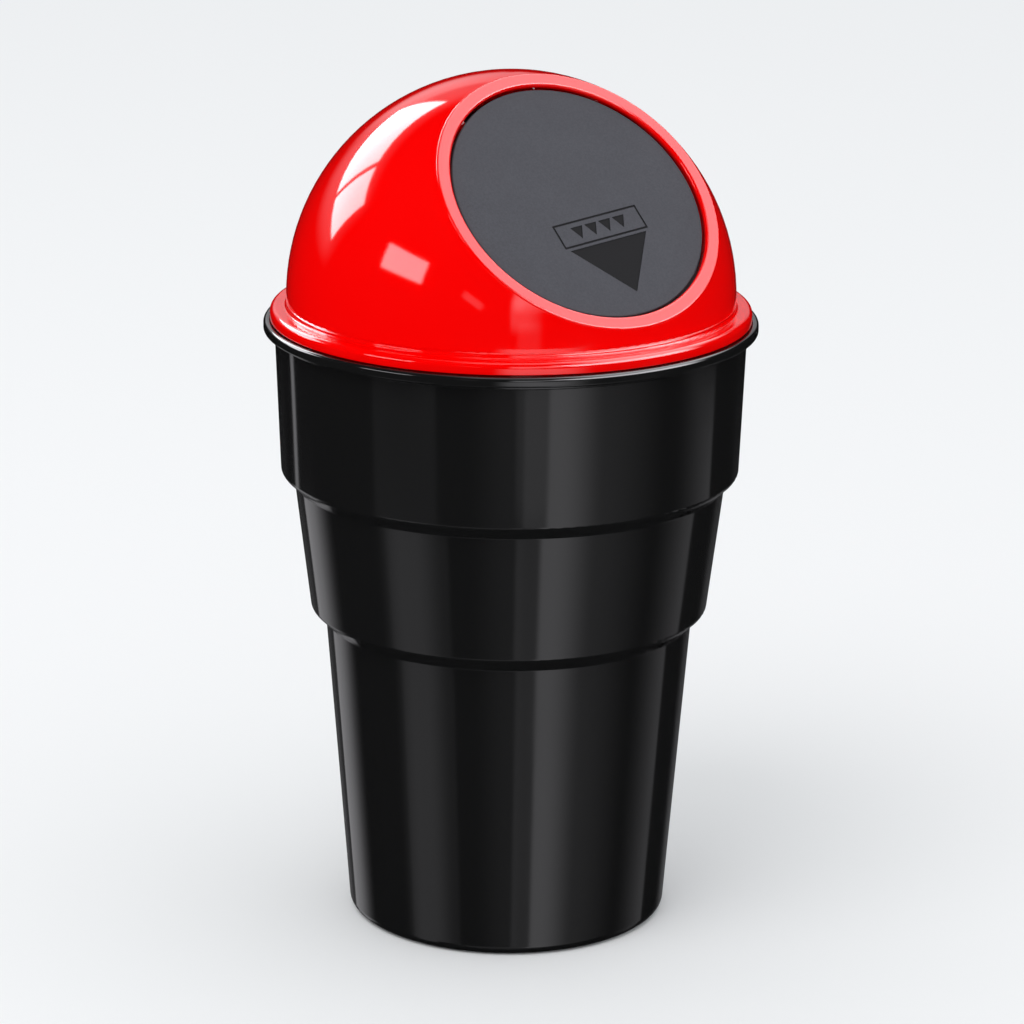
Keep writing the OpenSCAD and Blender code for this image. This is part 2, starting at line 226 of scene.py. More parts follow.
class RingSettings(PropertyGroup):
    """Sizes of the polished skin over the flat ring round the opening."""

    inner_radius: FloatProperty(
        name="Inner radius", description="Radius of its inner side", default=0.02703, unit="LENGTH", precision=5
    )
    outer_radius: FloatProperty(
        name="Outer radius", description="Radius of its outer side", default=0.02993, unit="LENGTH", precision=5
    )
    height: FloatProperty(
        name="Height",
        description="Distance of its flat from the centre of the dome",
        default=0.03372,
        unit="LENGTH",
        precision=5,
    )
    inner_round: FloatProperty(
        name="Inner rounding", description="Rounding into the opening", default=0.00055, unit="LENGTH", precision=5
    )
    outer_round: FloatProperty(
        name="Outer rounding", description="Rounding towards the dome", default=0.00045, unit="LENGTH", precision=5
    )
    depth: FloatProperty(
        name="Depth", description="How far its sides reach down", default=0.0015, unit="LENGTH", precision=5
    )


class RimSettings(PropertyGroup):
    """Sizes of the rim bead of the bin, and of the polished skin over it."""

    skin: FloatProperty(
        name="Skin", description="How far the skin stands out", default=0.00004, unit="LENGTH", precision=5
    )
    radius: FloatProperty(
        name="Radius", description="Radius of the rim bead", default=0.0493, unit="LENGTH", precision=5
    )
    top: FloatProperty(name="Top", description="Height of its top", default=0.1238, unit="LENGTH", precision=5)
    height: FloatProperty(name="Height", description="Height of the bead", default=0.0019, unit="LENGTH", precision=5)
    width: FloatProperty(
        name="Width", description="How far the skin reaches in", default=0.0021, unit="LENGTH", precision=5
    )
    high_round: FloatProperty(
        name="Upper rounding", description="Rounding of the upper edge", default=0.0007, unit="LENGTH", precision=5
    )
    low_round: FloatProperty(
        name="Lower rounding", description="Rounding of the lower edge", default=0.0003, unit="LENGTH", precision=5
    )


class FlangeSettings(PropertyGroup):
    """Sizes of the flange of the lid, and of the polished skin over it."""

    skin: FloatProperty(
        name="Skin", description="How far the skin stands out", default=0.00004, unit="LENGTH", precision=5
    )
    radius: FloatProperty(name="Radius", description="Radius of the flange", default=0.048, unit="LENGTH", precision=5)
    neck_radius: FloatProperty(
        name="Neck radius", description="Radius of the neck of the dome", default=0.0448, unit="LENGTH", precision=5
    )
    bottom: FloatProperty(
        name="Bottom", description="Height of its underside", default=0.1241, unit="LENGTH", precision=5
    )
    top: FloatProperty(name="Top", description="Height of its top", default=0.1264, unit="LENGTH", precision=5)
    edge_round: FloatProperty(
        name="Edge rounding", description="Rounding of the upper edge", default=0.0011, unit="LENGTH", precision=5
    )
    fillet: FloatProperty(
        name="Fillet", description="Fillet between flange and neck", default=0.0005, unit="LENGTH", precision=5
    )


class SpringSettings(PropertyGroup):
    """Sizes of the return spring, in the frame of the opening."""

    wire_radius: FloatProperty(
        name="Wire radius", description="Radius of the wire", default=0.0004, unit="LENGTH", precision=5
    )
    coil_radius: FloatProperty(
        name="Coil radius", description="Middle radius of the coil", default=0.0023, unit="LENGTH", precision=5
    )
    coil_half: FloatProperty(
        name="Half length", description="Half the length of the coil", default=0.00322, unit="LENGTH", precision=5
    )
    turns: IntProperty(name="Turns", description="Turns of the coil", default=7, min=1, max=12)
    axis_place: FloatVectorProperty(
        name="Axis",
        description="Hinge axis, up the slope and outwards",
        default=(0.02248, 0.0277),
        size=2,
        unit="LENGTH",
        precision=5,
    )
    fixed_end: FloatVectorProperty(
        name="Fixed end",
        description="End of the leg behind the flat ring, up the slope and outwards",
        default=(0.02798, 0.0308),
        size=2,
        unit="LENGTH",
        precision=5,
    )
    flap_end: FloatVectorProperty(
        name="Flap end",
        description="End of the leg on the flap, up the slope and outwards",
        default=(0.00948, 0.0307),
        size=2,
        unit="LENGTH",
        precision=5,
    )


class FinishSettings(PropertyGroup):
    """Colours and gloss of the mouldings and of the steel."""

    bin_colour: FloatVectorProperty(
        name="Bin", description="Black of the bin", default=(0.0064, 0.0064, 0.0065), subtype="COLOR"
    )
    bin_roughness: FloatProperty(name="Bin roughness", description="Roughness where the bin is glossiest", default=0.07)
    bin_peel: FloatProperty(
        name="Bin skin", description="Depth of the bin's uneven skin", default=0.000004, unit="LENGTH", precision=6
    )
    lid_colour: FloatVectorProperty(
        name="Lid", description="Red of the lid", default=(0.88, 0.0, 0.0), subtype="COLOR"
    )
    lid_roughness: FloatProperty(name="Lid roughness", description="Roughness where the lid is glossiest", default=0.05)
    lid_peel: FloatProperty(
        name="Lid skin", description="Depth of the lid's uneven skin", default=0.000003, unit="LENGTH", precision=6
    )
    steel_colour: FloatVectorProperty(
        name="Steel", description="Steel of pin and spring", default=(0.3, 0.305, 0.315), subtype="COLOR"
    )
    pin_roughness: FloatProperty(name="Pin roughness", description="Middle roughness of the pin", default=0.45)
    spring_roughness: FloatProperty(name="Spring roughness", description="Middle roughness of the wire", default=0.42)


class StudioSettings(PropertyGroup):
    """Camera, floor and light."""

    azimuth: FloatProperty(
        name="Azimuth",
        description="Camera to the right of straight in front of the flap",
        default=math.radians(-33.5),
        unit="ROTATION",
        subtype="ANGLE",
    )
    elevation: FloatProperty(
        name="Elevation",
        description="Camera above level",
        default=math.radians(16.27),
        unit="ROTATION",
        subtype="ANGLE",
    )
    roll: FloatProperty(
        name="Roll",
        description="Turn of the camera about its own axis",
        default=math.radians(0.48),
        unit="ROTATION",
        subtype="ANGLE",
    )
    distance: FloatProperty(
        name="Distance", description="Camera to the middle of the bin", default=0.8628, unit="LENGTH", precision=4
    )
    target_height: FloatProperty(
        name="Target height",
        description="Height that the camera looks at",
        default=0.08325,
        unit="LENGTH",
        precision=5,
    )
    lens: FloatProperty(name="Lens", description="Focal length in millimetres", default=150.12)
    shift: FloatProperty(name="Shift", description="Sideways shift of the lens", default=0.0025, precision=4)
    floor_colour: FloatVectorProperty(
        name="Floor", description="Pale floor", default=(0.86, 0.865, 0.87), subtype="COLOR"
    )
    floor_half: FloatProperty(name="Floor size", description="Half the width of the floor", default=6.0, unit="LENGTH")
    sky_colour: FloatVectorProperty(
        name="Sky colour", description="Colour of the even light", default=(0.97, 0.985, 1.0), subtype="COLOR"
    )
    sky_strength: FloatProperty(name="Sky", description="Strength of the even light", default=0.95)
    room_colour: FloatVectorProperty(
        name="Room colour",
        description="Colour of the room and of the softboxes in the gloss",
        default=(1.0, 0.99, 1.03),
        subtype="COLOR",
        soft_max=1.1,
    )
    room_strength: FloatProperty(
        name="Room", description="Strength of the room between the softboxes", default=0.006, precision=4
    )
    key_power: FloatProperty(name="Key", description="Power of the soft key light in watts", default=7.0)
    key_turn: FloatProperty(
        name="Key turn",
        description="Key light to the right of the camera",
        default=-0.6,
        unit="ROTATION",
        subtype="ANGLE",
    )
    key_elevation: FloatProperty(
        name="Key elevation", description="Key light above level", default=0.95, unit="ROTATION", subtype="ANGLE"
    )
    key_distance: FloatProperty(
        name="Key distance", description="Key light to the middle of the bin", default=1.6, unit="LENGTH"
    )
    key_size: FloatProperty(name="Key size", description="Width of the key light", default=1.1, unit="LENGTH")
    key_target: FloatProperty(
        name="Key target", description="Height that the key light faces", default=0.09, unit="LENGTH"
    )


class CarBinSettings(PropertyGroup):
    """All settings of the car bin."""

    ring: PointerProperty(type=RingSettings)
    rim: PointerProperty(type=RimSettings)
    flange: PointerProperty(type=FlangeSettings)
    face: PointerProperty(type=FaceSettings)
    spring: PointerProperty(type=SpringSettings)
    finish: PointerProperty(type=FinishSettings)
    studio: PointerProperty(type=StudioSettings)


def from_opening(points):
    """Points of the frame of the opening, as points of the part: the centre of the dome plus x across, y up the slope
    and z outwards."""
    points = np.asarray(points, float)
    axes = np.stack([ACROSS, UP_SLOPE, OUTWARDS])
    return points @ axes + np.array([0.0, 0.0, DOME_HEIGHT])


def add_piece(name, points, faces, smooth):
    """Mesh object at the origin, with its place in its points."""
    mesh = bpy.data.meshes.new(name)
    mesh.from_pydata(np.asarray(points, float).tolist(), [], [list(map(int, f)) for f in faces])
    mesh.polygons.foreach_set("use_smooth", np.asarray(smooth, bool))
    mesh.update()
    piece = bpy.data.objects.new(name, mesh)
    bpy.context.scene.collection.objects.link(piece)
    return piece


def grid_faces(rows, columns, closed):
    """Quads of a grid of rows by columns of points, row by row. Closed joins the last column to the first."""
    across = columns if closed else columns - 1
    i, j = np.meshgrid(np.arange(rows - 1), np.arange(across), indexing="ij")
    after = (j + 1) % columns
    quads = [i * columns + j, i * columns + after, (i + 1) * columns + after, (i + 1) * columns + j]
    return np.stack(quads, axis=-1).reshape(-1, 4)


# Finishes


class Shader:
    """A material's nodes: each call adds one node, sets its values and joins its inputs."""

    def __init__(self, name):
        self.material = bpy.data.materials.new(name)
        self.material.use_nodes = True
        self.nodes = self.material.node_tree.nodes
        self.links = self.material.node_tree.links
        self.principled = self.nodes["Principled BSDF"]

    def add(self, kind, values=None, inputs=None, **settings):
        """Adds a node of a kind, with settings of the node, values of its sockets and sockets that lead into it."""
        node = self.nodes.new("ShaderNode" + kind)
        for key, value in settings.items():
            setattr(node, key, value)
        for key, value in (values or {}).items():
            node.inputs[key].default_value = value
        for key, socket in (inputs or {}).items():
            self.links.new(socket, node.inputs[key])
        return node

    def put(self, **values):
        """Sets values of the principled shader's own sockets."""
        for key, value in values.items():
            self.principled.inputs[key.replace("_", " ").title().replace("Ior", "IOR")].default_value = value

    def join(self, socket, key):
        """Leads a socket into one of the principled shader's."""
        self.links.new(socket, self.principled.inputs[key])


def opaque(colour):
    """A colour with full cover."""
    return (*colour, 1.0)


def gloss_plastic(name, colour, roughness, peel):
    """Polished moulded plastic: a faint uneven skin, and gloss that is a little duller in patches and specks."""
    shader = Shader(name)
    shader.put(base_color=opaque(colour), ior=1.5)
    place = shader.add("TexCoord").outputs["Object"]
    patches = shader.add("TexNoise", {"Scale": 38.0, "Detail": 3.0, "Roughness": 0.55}, {"Vector": place})
    dulling = shader.add(
        "MapRange",
        {"From Min": 0.35, "From Max": 0.75, "To Min": roughness, "To Max": roughness * 1.7},
        {"Value": patches.outputs[0]},
    )
    shader.join(dulling.outputs[0], "Roughness")
    skin = shader.add("TexNoise", {"Scale": 210.0, "Detail": 2.0, "Roughness": 0.4}, {"Vector": place})
    bump = shader.add("Bump", {"Strength": 1.0, "Distance": peel}, {"Height": skin.outputs[0]})
    shader.join(bump.outputs[0], "Normal")
    return shader.material


def grained_plastic(name, colour, sign_colour):
    """Spark-eroded plastic: a fine even grain, and where the mesh's engraved attribute is 1, a smooth dark floor."""
    shader = Shader(name)
    shader.put(ior=1.5, specular_ior_level=0.06)
    place = shader.add("TexCoord").outputs["Object"]
    engraved = shader.add("Attribute", attribute_name="engraved", attribute_type="GEOMETRY").outputs["Fac"]
    grain = shader.add("TexNoise", {"Scale": 2600.0, "Detail": 2.0, "Roughness": 0.6}, {"Vector": place})
    cloud = shader.add("TexNoise", {"Scale": 120.0, "Detail": 4.0, "Roughness": 0.6}, {"Vector": place})
    shade = shader.add(
        "MixRGB",
        {"Color1": opaque([c * 0.9 for c in colour]), "Color2": opaque([c * 1.12 for c in colour])},
        {"Fac": cloud.outputs[0]},
    )
    speckle = shader.add(
        "MapRange",
        {"From Min": 0.3, "From Max": 0.7, "To Min": 0.9, "To Max": 1.1},
        {"Value": grain.outputs[0]},
    )
    face = shader.add(
        "VectorMath", inputs={0: shade.outputs[0], "Scale": speckle.outputs[0]}, operation="SCALE"
    )
    both = shader.add(
        "MixRGB", {"Color2": opaque(sign_colour)}, {"Fac": engraved, "Color1": face.outputs[0]}
    )
    shader.join(both.outputs[0], "Base Color")
    gloss = shader.add("MapRange", {"To Min": 0.5, "To Max": 0.62}, {"Value": engraved})
    shader.join(gloss.outputs[0], "Roughness")
    depth = shader.add("MapRange", {"To Min": 1.0, "To Max": 0.15}, {"Value": engraved})
    bump = shader.add(
        "Bump", {"Distance": 0.000012}, {"Height": grain.outputs[0], "Strength": depth.outputs[0]}
    )
    shader.join(bump.outputs[0], "Normal")
    return shader.material


def drawn_steel(name, colour, roughness):
    """Drawn wire: metal with fine scratches along X and a little tarnish."""
    shader = Shader(name)
    shader.put(metallic=1.0)
    place = shader.add("TexCoord").outputs["Object"]
    along = shader.add("Mapping", {"Scale": (400.0, 9000.0, 9000.0)}, {"Vector": place})
    draw = shader.add("TexNoise", {"Scale": 1.0, "Detail": 3.0}, {"Vector": along.outputs[0]})
    tarnish = shader.add("TexNoise", {"Scale": 900.0, "Detail": 3.0}, {"Vector": place})
    colours = shader.add(
        "MixRGB",
        {"Color1": opaque(colour), "Color2": opaque([c * 0.62 for c in colour])},
        {"Fac": tarnish.outputs[0]},
    )
    shader.join(colours.outputs[0], "Base Color")
    gloss = shader.add(
        "MapRange", {"To Min": roughness * 0.7, "To Max": roughness * 1.4}, {"Value": draw.outputs[0]}
    )
    shader.join(gloss.outputs[0], "Roughness")
    return shader.material


def finish_node(node, material):
    """Gives a node of the frame its finish."""
    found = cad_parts[node]
    if not found.material_slots:
        found.data.materials.append(material)
    for slot in found.material_slots:
        slot.material = material


# Face of the flap


def box_distance(p, q, half_p, half_q):
    """Signed distance to an upright box: the longer of both overshoots inside, and their root of squares outside."""
    over_p, over_q = np.abs(p) - half_p, np.abs(q) - half_q
    outside = np.hypot(np.maximum(over_p, 0), np.maximum(over_q, 0))
    return outside + np.minimum(np.maximum(over_p, over_q), 0)


def polygon_distance(p, q, corners):
    """Signed distance to a convex polygon with its corners counter-clockwise: the farthest of its sides."""
    distance = np.full(p.shape, -np.inf)
    for a, b in zip(corners, corners[1:] + corners[:1], strict=True):
        along = np.subtract(b, a) / np.linalg.norm(np.subtract(b, a))
        distance = np.maximum(distance, (p - a[0]) * along[1] - (q - a[1]) * along[0])
    return distance


def sign_distance(p, q, face):
    """Signed distance to the sign, below zero inside it: a border line, a row of small triangles and an arrow head."""
    half_p, half_q = face.field_width / 2, face.field_height / 2
    distance = np.abs(box_distance(p, q, half_p, half_q)) - face.line_width / 2
    pitch = face.field_width * MARK_PITCH
    half_mark, rise = pitch * MARK_HALF_WIDTH, face.field_height * MARK_HALF_HEIGHT
    for k in range(face.mark_count):
        middle = (k - (face.mark_count - 1) / 2) * pitch
        mark = [(middle - half_mark, rise), (middle, -rise), (middle + half_mark, rise)]
        distance = np.minimum(distance, polygon_distance(p, q, mark))
    top = -half_q - face.line_width / 2 - face.arrow_gap
    half = face.arrow_width / 2
    corners = [(-half, top), (TIP_SHIFT, top - face.arrow_height), (half, top)]
    return np.minimum(distance, polygon_distance(p, q, corners))


def engraved_field(face):
    """Grid of points over a rectangle round the sign, and which of them lie inside it. Points within a step of the
    sign's edge move along the slope of its distance to half a wall from the edge, so that its walls are even."""
    half_p = face.field_width / 2 + FIELD_MARGIN
    top = face.field_height / 2 + FIELD_MARGIN
    bottom = -face.field_height / 2 - face.arrow_gap - face.arrow_height - FIELD_MARGIN * FOOT_MARGINS
    columns = int(round(2 * half_p / face.grid_step)) + 1
    rows = int(round((top - bottom) / face.grid_step)) + 1
    q, p = np.meshgrid(np.linspace(bottom, top, rows), np.linspace(-half_p, half_p, columns), indexing="ij")
    distance = sign_distance(p, q, face)
    step_q, step_p = q[1, 0] - q[0, 0], p[0, 1] - p[0, 0]
    slope_q, slope_p = np.gradient(distance, step_q, step_p)
    steepness = np.maximum(np.hypot(slope_q, slope_p), LEAST_SLOPE)
    wall = face.grid_step * HALF_WALL
    inside = distance < 0
    near = np.abs(distance) < face.grid_step
    shift = np.where(near, np.where(inside, -wall, wall) - distance, 0.0)
    p = p + shift * slope_p / steepness
    q = q + shift * slope_q / steepness
    return p, q, inside


def flap_face(face):
    """Closed skin of the flap: the field, which is lower by the engraving's depth inside the sign, a flat band that
    grows from the field's border to the circle of the face, a quarter round down to the skirt, and a flat underside
    that is buried in the flap."""
    p, q, inside = engraved_field(face)
    rows, columns = p.shape
    turn = face.sign_turn
    x = face.sign_place[0] + p * math.cos(turn) - q * math.sin(turn)
    y = face.sign_place[1] + p * math.sin(turn) + q * math.cos(turn)
    z = np.where(inside, face.height - face.depth, face.height)
    field = np.stack([x, y, z], axis=-1).reshape(-1, 3)
    index = np.arange(rows * columns).reshape(rows, columns)
    border = np.concatenate([index[0, :-1], index[:-1, -1], index[-1, :0:-1], index[:0:-1, 0]])
    start = field[border]
    # Each border point grows away from the field's middle to the circle where the face ends
    flat_radius = face.radius - face.edge_round
    middle = start[:, :2].mean(axis=0)
    ray = start[:, :2] - middle
    along, squared = ray @ middle, (ray**2).sum(axis=1)
    reach = (np.sqrt(along**2 + squared * (flat_radius**2 - middle @ middle)) - along) / squared
    rim = (middle + reach[:, None] * ray) / flat_radius
    share = np.linspace(0, 1, FACE_ROWS)[1:, None, None]
    band = (1 - share) * start[None, :, :2] + share * flat_radius * rim[None]
    band = np.concatenate([band, np.full((*band.shape[:2], 1), face.height)], axis=-1)
    bend = np.linspace(0, math.pi / 2, FACE_ROWS)[1:]
    radii = np.append(flat_radius + face.edge_round * np.sin(bend), face.radius)
    heights = np.append(face.height - face.edge_round * (1 - np.cos(bend)), face.height - face.skirt)
    edge = np.concatenate(
        [radii[:, None, None] * rim[None], np.broadcast_to(heights[:, None, None], (len(radii), len(rim), 1))],
        axis=-1,
    )
    loops = np.concatenate([band, edge])
    ring = loops.shape[1]
    first = len(field)
    points = np.concatenate([field, loops.reshape(-1, 3), [[0, 0, face.height - face.skirt]]])
    field_faces = grid_faces(rows, columns, closed=False)
    loop_index = np.concatenate([border[None], first + np.arange(loops.shape[0] * ring).reshape(-1, ring)])
    flat_index = loop_index.ravel()
    outer_faces = flat_index[grid_faces(loops.shape[0] + 1, ring, closed=True)][:, ::-1]
    last = loop_index[-1]
    underside = np.stack([np.full(ring, len(points) - 1), np.roll(last, -1), last], axis=-1)
    faces = [*field_faces, *outer_faces, *underside]
    # Only the rounding and the skirt are shaded smooth
    smooth = np.zeros(len(faces), bool)
    flat_faces = len(field_faces) + len(band) * ring
    smooth[flat_faces : len(field_faces) + len(outer_faces)] = True
    piece = add_piece("flap_face", from_opening(points), faces, smooth)
    engraved = np.zeros(len(points), np.float32)
    engraved[: len(field)] = inside.ravel()
    piece.data.attributes.new("engraved", "FLOAT", "POINT").data.foreach_set("value", engraved)
    return piece


# Polished skins over the turned edges


def arc(middle, radius, first, last):
    """Points of an arc: its middle plus its radius towards each angle, in degrees, from the first to the last."""
    angle = np.radians(np.linspace(first, last, ARC_POINTS))
    return np.stack([middle[0] + radius * np.cos(angle), middle[1] + radius * np.sin(angle)], axis=-1)


def turned_skin(name, seen, buried, place):
    """Closed skin of two profiles of distances from an axis and heights along it, turned about that axis: the one that
    is seen, which goes up on the outer side and over the top, and the one that leads back inside the moulding."""
    seen = np.concatenate(seen)
    radii, heights = np.concatenate([seen, buried]).T
    rows = len(radii)
    around = np.arange(COLUMNS) * 2 * math.pi / COLUMNS
    points = np.stack(
        [
            radii[:, None] * np.cos(around),
            radii[:, None] * np.sin(around),
            np.broadcast_to(heights[:, None], (rows, COLUMNS)),
        ],
        axis=-1,
    )
    faces = grid_faces(rows + 1, COLUMNS, closed=True) % (rows * COLUMNS)
    smooth = np.arange(len(faces)) < (len(seen) - 1) * COLUMNS
    return add_piece(name, place(points.reshape(-1, 3)), faces, smooth)


def ring_skin(ring):
    """Skin of the flat ring: up from the dome, over a quarter round, the flat and another quarter round, and down into
    the opening."""
    bottom = ring.height - ring.depth
    outer = (ring.outer_radius - ring.outer_round, ring.height - ring.outer_round)
    inner = (ring.inner_radius + ring.inner_round, ring.height - ring.inner_round)
    seen = [
        [(ring.outer_radius, outer[1] - ring.outer_round * RING_FOOT)],
        arc(outer, ring.outer_round, 0, 90),
        [(outer[0] - SUPPORT, ring.height), (inner[0] + SUPPORT, ring.height)],
        arc(inner, ring.inner_round, 90, 180),
        [(ring.inner_radius, bottom)],
    ]
    return turned_skin("ring_skin", seen, [(inner[0], bottom), (outer[0], bottom)], from_opening)


def rim_skin(rim):
    """Skin of the rim bead: out under the bead, over its lower rounding, up its side and over its upper rounding."""
    skin, lip = rim.skin, rim.radius - RIM_LIP
    low = (rim.radius - rim.low_round, rim.top - rim.height + rim.low_round)
    high = (rim.radius - rim.high_round, rim.top - rim.high_round)
    under, top, inside = low[1] - rim.low_round - skin, rim.top + skin, rim.radius - rim.width
    seen = [
        [(lip, under), (low[0] - SUPPORT, under)],
        arc(low, rim.low_round + skin, -90, 0),
        [(rim.radius + skin, low[1] + SUPPORT), (rim.radius + skin, high[1] - SUPPORT)],
        arc(high, rim.high_round + skin, 0, 90),
        [(high[0] - SUPPORT, top), (inside, top)],
    ]
    buried = [(inside, rim.top - RIM_DEPTHS[0]), (lip, rim.top - RIM_DEPTHS[1])]
    return turned_skin("rim_skin", seen, buried, np.asarray)


def flange_skin(flange):
    """Skin of the flange: out under it, up its side, over its rounding and its flat top, and up the fillet to the
    neck."""
    skin, lip = flange.skin, flange.radius - FLANGE_LIP
    low = (flange.radius + skin - FLANGE_LOW_ROUND, flange.bottom - skin + FLANGE_LOW_ROUND)
    high = (flange.radius - flange.edge_round, flange.top - flange.edge_round)
    fillet = (flange.neck_radius + flange.fillet, flange.top + flange.fillet)
    inside = flange.neck_radius - FLANGE_LIP
    seen = [
        [(lip, flange.bottom - skin), (low[0] - SUPPORT, flange.bottom - skin)],
        arc(low, FLANGE_LOW_ROUND, -90, 0),
        [(flange.radius + skin, low[1] + SUPPORT), (flange.radius + skin, high[1] - SUPPORT)],
        arc(high, flange.edge_round + skin, 0, 90),
        [(high[0] - SUPPORT, flange.top + skin), (fillet[0] + SUPPORT, flange.top + skin)],
        arc(fillet, flange.fillet - skin, 270, 180),
        [(flange.neck_radius - NECK_SINK, fillet[1] + NECK_CLIMB)],
    ]
    buried = [
        (inside, fillet[1] + FILLET_DEPTH),
        (inside, flange.bottom + FLANGE_DEPTHS[0]),
        (lip, flange.bottom + FLANGE_DEPTHS[1]),
    ]
    return turned_skin("flange_skin", seen, buried, np.asarray)


# Return spring


def spring_path(spring):
    """Line of the wire and the direction out from the coil at each point: a straight leg from behind the flat ring to
    the top of the coil, the turns, and a straight leg along the back of the flap. A turn is a circle about the hinge
    axis that moves along X by the pitch."""
    axis_y, axis_z = spring.axis_place
    angle = np.linspace(0, 2 * math.pi * spring.turns, TURN_POINTS * spring.turns + 1)
    out = angle + math.pi / 2
    coil = np.stack(
        [
            spring.coil_half * (1 - 2 * angle / angle[-1]),
            axis_y + spring.coil_radius * np.cos(out),
            axis_z + spring.coil_radius * np.sin(out),
        ],
        axis=-1,
    )
    share = np.linspace(0, 1, LEG_POINTS)[:-1, None]
    fixed_end = np.array([spring.coil_half, *spring.fixed_end])
    flap_end = np.array([-spring.coil_half, *spring.flap_end])
    fixed_leg = fixed_end + share * (coil[0] - fixed_end)
    flap_leg = flap_end + share[::-1] * (coil[-1] - flap_end)
    line = np.concatenate([fixed_leg, coil, flap_leg])
    straight = np.full(len(share), math.pi / 2)
    return line, np.concatenate([straight, out, straight])


def spring_wire(spring):
    """Round wire: a circle in the plane of X and of the direction out from the coil, carried along the line. Each end
    closes over a quarter round to a point."""
    line, out = spring_path(spring)
    bend = np.linspace(0, math.pi / 2, END_RINGS)[:-1]
    radius = spring.wire_radius
    first, last = line[0] - line[1], line[-1] - line[-2]
    first, last = first / np.linalg.norm(first), last / np.linalg.norm(last)
    # The ends' quarter rounds add rings of shrinking radius beyond the line
    start = line[0] - first * radius + first * radius * np.sin(bend[::-1])[:, None]
    end = line[-1] - last * radius + last * radius * np.sin(bend)[:, None]
    centres = np.concatenate([start, line[1:-1], end])
    turned = np.concatenate([np.full(len(bend), out[0]), out[1:-1], np.full(len(bend), out[-1])])
    radii = np.concatenate([radius * np.cos(bend[::-1]), np.full(len(line) - 2, radius), radius * np.cos(bend)])
    around = np.arange(WIRE_SIDES) * 2 * math.pi / WIRE_SIDES
    outward = np.stack([np.zeros(len(turned)), np.cos(turned), np.sin(turned)], axis=-1)
    ring = np.cos(around)[None, :, None] * ACROSS + np.sin(around)[None, :, None] * outward[:, None, :]
    points = centres[:, None, :] + radii[:, None, None] * ring
    rows = len(centres)
    quads = grid_faces(rows, WIRE_SIDES, closed=True)
    points = np.concatenate([points.reshape(-1, 3), [line[0], line[-1]]])
    column = np.arange(WIRE_SIDES)
    after = np.roll(column, -1)
    last_row = (rows - 1) * WIRE_SIDES
    first_cap = np.stack([np.full(WIRE_SIDES, len(points) - 2), after, column], axis=-1)
    last_cap = np.stack([np.full(WIRE_SIDES, len(points) - 1), last_row + column, last_row + after], axis=-1)
    faces = [*quads, *first_cap, *last_cap]
    return add_piece("return_spring_wire", from_opening(points), faces, np.ones(len(faces), bool))


# Studio


def direction_of(azimuth, elevation):
    """Unit vector from the bin, with azimuth 0 in front of the flap and to the right of it above 0."""
    flat = math.cos(elevation)
    return Vector((math.sin(azimuth) * flat, -math.cos(azimuth) * flat, math.sin(elevation)))


def add_softboxes(tree, camera_azimuth):
    """Sum of the softboxes for a direction: in the plane that touches the unit sphere at each box's middle, a rectangle
    with soft edges."""
    nodes, links = tree.nodes, tree.links

    def math_node(operation, first, second):
        """Joins two sockets or numbers."""
        node = nodes.new("ShaderNodeMath")
        node.operation = operation
        for socket, value in zip(node.inputs, (first, second), strict=False):
            if isinstance(value, bpy.types.NodeSocket):
                links.new(value, socket)
            else:
                socket.default_value = value
        return node.outputs[0]

    def dot(vector):
        """Cosine between the direction and a vector."""
        node = nodes.new("ShaderNodeVectorMath")
        node.operation = "DOT_PRODUCT"
        links.new(looked_at, node.inputs[0])
        node.inputs[1].default_value = vector
        return node.outputs["Value"]

    def rise(value, start, end):
        """Smooth step from 0 at the start to 1 at the end, which may lie below the start."""
        node = nodes.new("ShaderNodeMapRange")
        node.interpolation_type = "SMOOTHSTEP"
        links.new(value, node.inputs["Value"])
        node.inputs["From Min"].default_value = start
        node.inputs["From Max"].default_value = end
        return node.outputs[0]

    def inside(value, half, first_soft, last_soft):
        """1 between minus half and half, with a soft edge at each end."""
        first = rise(value, -half * (1 + first_soft), -half * (1 - first_soft))
        return math_node("MULTIPLY", first, rise(value, half * (1 + last_soft), half * (1 - last_soft)))

    looked_at = nodes.new("ShaderNodeTexCoord").outputs["Generated"]
    total = None
    for azimuth, elevation, half_w, half_h, turn, left_soft, right_soft, ends, strength in SOFTBOXES.values():
        middle = direction_of(camera_azimuth + math.radians(azimuth), math.radians(elevation))
        right = Vector((0, 0, 1)).cross(middle).normalized()
        up = middle.cross(right)
        tilt = Quaternion(middle, math.radians(turn))
        right, up = tilt @ right, tilt @ up
        facing = dot(middle)
        ahead = math_node("GREATER_THAN", facing, AHEAD)
        depth = math_node("MAXIMUM", facing, AHEAD)
        half_across, half_along = math.tan(math.radians(half_w)), math.tan(math.radians(half_h))
        across = inside(math_node("DIVIDE", dot(right), depth), half_across, left_soft, right_soft)
        along = inside(math_node("DIVIDE", dot(up), depth), half_along, ends, ends)
        lit = math_node("MULTIPLY", math_node("MULTIPLY", across, along), ahead)
        lit = math_node("MULTIPLY", lit, strength)
        total = lit if total is None else math_node("ADD", total, lit)
    return total


